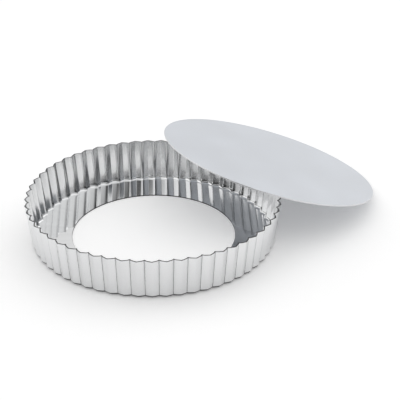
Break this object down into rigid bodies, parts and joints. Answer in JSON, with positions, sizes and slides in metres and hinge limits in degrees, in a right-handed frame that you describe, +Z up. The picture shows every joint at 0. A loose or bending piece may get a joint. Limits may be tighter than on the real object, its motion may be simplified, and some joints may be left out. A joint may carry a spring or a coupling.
{
  "type": "loose-bottom tart pan",
  "caption": "Round fluted tart ring in bright tinplate with an inward ledge, and its flat loose bottom disc leaning over the rim; the disc drops on to the ledge to close the pan.",
  "frame": {"origin": "middle of the ground that the pan and its leaning bottom cover, at ground level", "axes": "+Z up along the ring's axis; +X is the longest side of the covered ground, towards the disc's low end; +Y away from the side that the picture looks from"},
  "size_m": [0.2788, 0.2586, 0.0581],
  "materials": {
    "bright_tinplate": "bright mirror-like tinplate with faint upright drawing lines",
    "satin_steel": "even satin sheet steel"
  },
  "bodies": {
    "ring": {"fluted_ring": "bright_tinplate"},
    "loose_bottom": {"loose_bottom": "satin_steel"}
  },
  "joints": [
    {"name": "loose_bottom_lift", "type": "slide", "parent": "ring", "child": "loose_bottom", "axis": [0, 0, 1], "range_m": [0, 0.12]}
  ]
}
